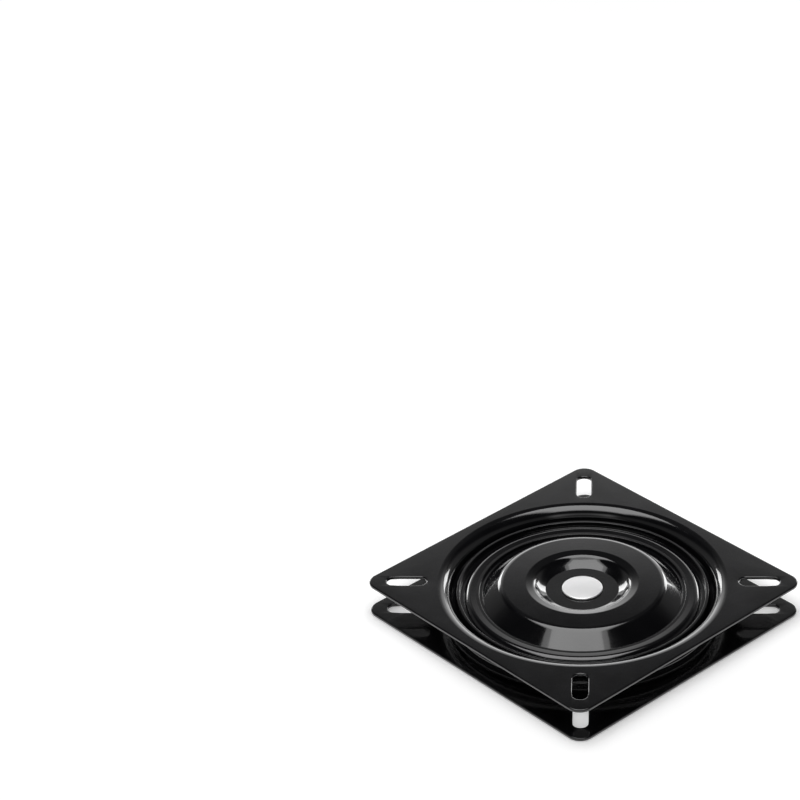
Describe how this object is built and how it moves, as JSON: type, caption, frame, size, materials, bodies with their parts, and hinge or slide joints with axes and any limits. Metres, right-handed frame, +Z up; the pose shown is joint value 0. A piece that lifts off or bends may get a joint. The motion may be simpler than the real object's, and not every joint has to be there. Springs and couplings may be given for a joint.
{
  "type": "seat swivel plate",
  "caption": "Ball-bearing seat swivel: a square pressed steel plate with corner slots turns without end on a like plate below, held by a ring, a dish and a rivet.",
  "frame": {"origin": "on the swivel axis, in the plane of the lower plate's underside", "axes": "+Z up along the swivel axis; the corners of both plates lie on X and Y at rest"},
  "size_m": [0.2444, 0.2444, 0.021],
  "materials": {
    "enamelled_steel": "gloss black enamel",
    "bright_rivet": "polished",
    "bearing_steel": "polished",
    "cage_nylon": "moulded"
  },
  "bodies": {
    "base": {"lower_plate": "enamelled_steel", "retaining_ring": "enamelled_steel", "centre_dish": "enamelled_steel", "centre_rivet": "bright_rivet"},
    "turntable": {"upper_plate": "enamelled_steel"},
    "upper_ball_row": {"upper_ball_cage": "cage_nylon", "upper_ball_01": "bearing_steel", "upper_ball_02": "bearing_steel", "upper_ball_03": "bearing_steel", "upper_ball_04": "bearing_steel", "upper_ball_05": "bearing_steel", "upper_ball_06": "bearing_steel", "upper_ball_07": "bearing_steel", "upper_ball_08": "bearing_steel", "upper_ball_09": "bearing_steel", "upper_ball_10": "bearing_steel", "upper_ball_11": "bearing_steel", "upper_ball_12": "bearing_steel", "upper_ball_13": "bearing_steel", "upper_ball_14": "bearing_steel", "upper_ball_15": "bearing_steel", "upper_ball_16": "bearing_steel", "upper_ball_17": "bearing_steel", "upper_ball_18": "bearing_steel", "upper_ball_19": "bearing_steel", "upper_ball_20": "bearing_steel", "upper_ball_21": "bearing_steel", "upper_ball_22": "bearing_steel", "upper_ball_23": "bearing_steel", "upper_ball_24": "bearing_steel"},
    "lower_ball_row": {"lower_ball_cage": "cage_nylon", "lower_ball_01": "bearing_steel", "lower_ball_02": "bearing_steel", "lower_ball_03": "bearing_steel", "lower_ball_04": "bearing_steel", "lower_ball_05": "bearing_steel", "lower_ball_06": "bearing_steel", "lower_ball_07": "bearing_steel", "lower_ball_08": "bearing_steel", "lower_ball_09": "bearing_steel", "lower_ball_10": "bearing_steel", "lower_ball_11": "bearing_steel", "lower_ball_12": "bearing_steel", "lower_ball_13": "bearing_steel", "lower_ball_14": "bearing_steel", "lower_ball_15": "bearing_steel", "lower_ball_16": "bearing_steel", "lower_ball_17": "bearing_steel", "lower_ball_18": "bearing_steel", "lower_ball_19": "bearing_steel", "lower_ball_20": "bearing_steel", "lower_ball_21": "bearing_steel", "lower_ball_22": "bearing_steel", "lower_ball_23": "bearing_steel", "lower_ball_24": "bearing_steel"}
  },
  "joints": [
    {"name": "swivel", "type": "hinge", "parent": "base", "child": "turntable", "pos_m": [0, 0, 0], "axis": [0, 0, 1], "continuous": true},
    {"name": "upper_row_roll", "type": "hinge", "parent": "base", "child": "upper_ball_row", "pos_m": [0, 0, 0], "axis": [0, 0, 1], "continuous": true},
    {"name": "lower_row_roll", "type": "hinge", "parent": "base", "child": "lower_ball_row", "pos_m": [0, 0, 0], "axis": [0, 0, 1], "continuous": true}
  ],
  "couplings": [
    {"joint": "upper_row_roll", "follows": "swivel", "ratio": 0.5},
    {"joint": "lower_row_roll", "follows": "swivel", "ratio": 0.5}
  ]
}
